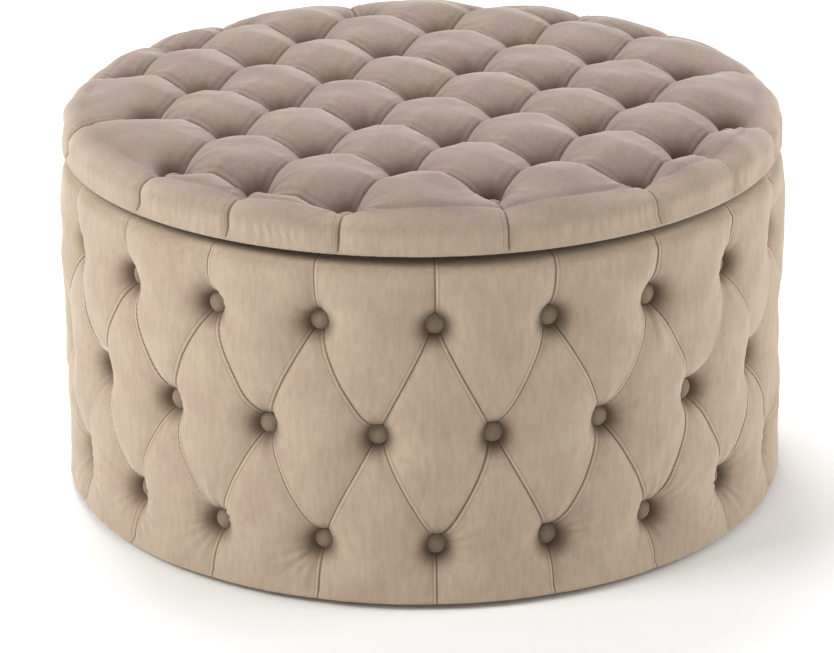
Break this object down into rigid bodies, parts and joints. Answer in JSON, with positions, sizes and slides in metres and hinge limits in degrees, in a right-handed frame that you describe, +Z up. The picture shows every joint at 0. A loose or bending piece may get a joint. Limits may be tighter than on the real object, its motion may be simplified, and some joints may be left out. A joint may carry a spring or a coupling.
{
  "type": "storage ottoman",
  "caption": "Round upholstered drum with deep-buttoned velvet sides, a hollow inside for storage, and a thick buttoned lid that lifts off as a padded seat.",
  "frame": {"origin": "on the floor at the drum's axis, at the undersides of the glides", "axes": "+Z up along the drum's axis; the front is -Y and +X is to the right"},
  "size_m": [0.8, 0.8, 0.447],
  "materials": {
    "velvet_side": "short-pile velvet, taupe, soft sheen",
    "velvet_lid": "short-pile velvet, taupe, brushed darker on top",
    "velvet_button": "short-pile velvet stretched over a button",
    "foam": "open-cell upholstery foam, cream",
    "lining": "spun-bonded black lining",
    "twine": "waxed upholstery twine",
    "plywood": "sanded birch plywood",
    "hardboard": "smooth bent hardboard",
    "pine": "planed softwood",
    "zinc_steel": "zinc-plated",
    "steel_wire": "drawn galvanised wire",
    "black_plastic": "moulded polypropylene, fine texture"
  },
  "bodies": {
    "drum": {"base_board": "plywood", "base_hem_staples": "steel_wire", "dust_cover": "lining", "floor_lining": "lining", "glide_1": "black_plastic", "glide_2": "black_plastic", "glide_3": "black_plastic", "glide_4": "black_plastic", "glide_5": "black_plastic", "glide_6": "black_plastic", "glide_screws": "zinc_steel", "panel_brads": "steel_wire", "post_screws_bottom": "zinc_steel", "post_screws_top": "zinc_steel", "rim_pad": "foam", "side_buttons_bottom": "velvet_button", "side_buttons_middle": "velvet_button", "side_buttons_top": "velvet_button", "side_cover": "velvet_side", "side_foam": "foam", "side_ties": "twine", "side_washers": "zinc_steel", "top_ring": "plywood", "wall_lining": "lining", "wall_panel": "hardboard", "wall_post_01": "pine", "wall_post_02": "pine", "wall_post_03": "pine", "wall_post_04": "pine", "wall_post_05": "pine", "wall_post_06": "pine", "wall_post_07": "pine", "wall_post_08": "pine", "wall_post_09": "pine", "wall_post_10": "pine"},
    "lid": {"lid_board": "plywood", "lid_buttons": "velvet_button", "lid_cover": "velvet_lid", "lid_foam": "foam", "lid_hem_staples": "steel_wire", "lid_lining": "lining", "lid_ties": "twine", "lid_washers": "zinc_steel", "locator_ring": "plywood", "locator_screws": "zinc_steel"}
  },
  "joints": [
    {"name": "lid_lift", "type": "slide", "parent": "drum", "child": "lid", "axis": [0, 0, 1], "range_m": [0, 0.3]}
  ]
}
